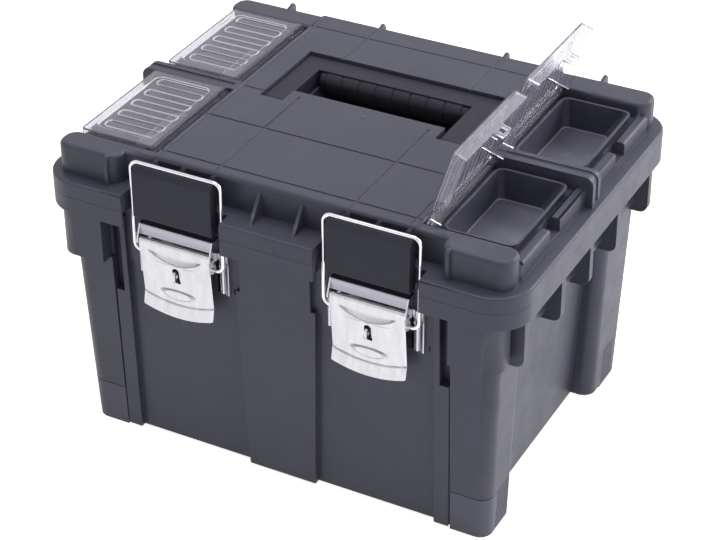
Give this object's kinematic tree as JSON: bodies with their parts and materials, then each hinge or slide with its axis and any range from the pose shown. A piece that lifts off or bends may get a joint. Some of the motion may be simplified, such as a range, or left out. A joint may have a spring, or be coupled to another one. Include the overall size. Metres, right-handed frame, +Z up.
{
  "type": "tool box",
  "caption": "Moulded plastic tool box with a hinged lid, folding carrying handle, small-parts bins under clear flaps, and steel bail latches in front.",
  "frame": {"origin": "on the floor under the middle of the whole box, rear hinges included", "axes": "+X to the right along the front, +Y to the back, +Z up"},
  "size_m": [0.45, 0.3535, 0.3552],
  "materials": {
    "box_plastic": "satin moulded",
    "foot_plastic": "satin moulded",
    "handle_plastic": "satin moulded",
    "pad_plastic": "fine matte grain",
    "clear_plastic": "clear polished",
    "plated_steel": "bright plated sheet",
    "plated_wire": "bright plated wire",
    "pin_steel": "drawn wire"
  },
  "bodies": {
    "tub": {"tub": "box_plastic", "foot_front_left": "foot_plastic", "foot_front_right": "foot_plastic", "foot_back_left": "foot_plastic", "foot_back_right": "foot_plastic", "hinge_pin_left": "pin_steel", "hinge_pin_right": "pin_steel", "latch_bracket_left": "plated_steel", "latch_bracket_right": "plated_steel", "latch_pivot_pin_left": "pin_steel", "latch_pivot_pin_right": "pin_steel", "padlock_staple_left": "plated_steel", "padlock_staple_right": "plated_steel", "bracket_rivets_left": "plated_steel", "bracket_rivets_right": "plated_steel"},
    "lid": {"lid": "box_plastic"},
    "handle": {"handle": "handle_plastic"},
    "flap_front_left": {"flap_front_left": "clear_plastic"},
    "flap_front_right": {"flap_front_right": "clear_plastic"},
    "flap_back_left": {"flap_back_left": "clear_plastic"},
    "flap_back_right": {"flap_back_right": "clear_plastic"},
    "lever_left": {"latch_lever_left": "plated_steel"},
    "bail_left": {"latch_bail_left": "plated_wire", "latch_pad_left": "pad_plastic"},
    "lever_right": {"latch_lever_right": "plated_steel"},
    "bail_right": {"latch_bail_right": "plated_wire", "latch_pad_right": "pad_plastic"}
  },
  "joints": [
    {"name": "lid_hinge", "type": "hinge", "parent": "tub", "child": "lid", "pos_m": [0, 0.17125, 0.24375], "axis": [-1, 0, 0], "range_deg": [0, 100]},
    {"name": "handle_pivot", "type": "hinge", "parent": "lid", "child": "handle", "pos_m": [0, -0.00515, 0.278], "axis": [1, 0, 0], "range_deg": [0, 95]},
    {"name": "flap_front_left_hinge", "type": "hinge", "parent": "lid", "child": "flap_front_left", "pos_m": [-0.131, -0.07525, 0.283], "axis": [0, 1, 0], "range_deg": [0, 97]},
    {"name": "flap_front_right_hinge", "type": "hinge", "parent": "lid", "child": "flap_front_right", "pos_m": [0.131, -0.07525, 0.283], "axis": [0, -1, 0], "range_deg": [-72.5, 24.5]},
    {"name": "flap_back_left_hinge", "type": "hinge", "parent": "lid", "child": "flap_back_left", "pos_m": [-0.131, 0.06375, 0.283], "axis": [0, 1, 0], "range_deg": [0, 97]},
    {"name": "flap_back_right_hinge", "type": "hinge", "parent": "lid", "child": "flap_back_right", "pos_m": [0.131, 0.06375, 0.283], "axis": [0, -1, 0], "range_deg": [-72.5, 24.5]},
    {"name": "latch_lever_left_pivot", "type": "hinge", "parent": "tub", "child": "lever_left", "pos_m": [-0.092, -0.17075, 0.217], "axis": [-1, 0, 0], "range_deg": [0, 115]},
    {"name": "latch_bail_left_pivot", "type": "hinge", "parent": "lever_left", "child": "bail_left", "pos_m": [-0.092, -0.16575, 0.203], "axis": [-1, 0, 0], "range_deg": [-130, 0]},
    {"name": "latch_lever_right_pivot", "type": "hinge", "parent": "tub", "child": "lever_right", "pos_m": [0.092, -0.17075, 0.217], "axis": [-1, 0, 0], "range_deg": [0, 115]},
    {"name": "latch_bail_right_pivot", "type": "hinge", "parent": "lever_right", "child": "bail_right", "pos_m": [0.092, -0.16575, 0.203], "axis": [-1, 0, 0], "range_deg": [-130, 0]}
  ],
  "couplings": [
    {"joint": "latch_bail_left_pivot", "follows": "latch_lever_left_pivot", "ratio": -1.13},
    {"joint": "latch_bail_right_pivot", "follows": "latch_lever_right_pivot", "ratio": -1.13}
  ]
}
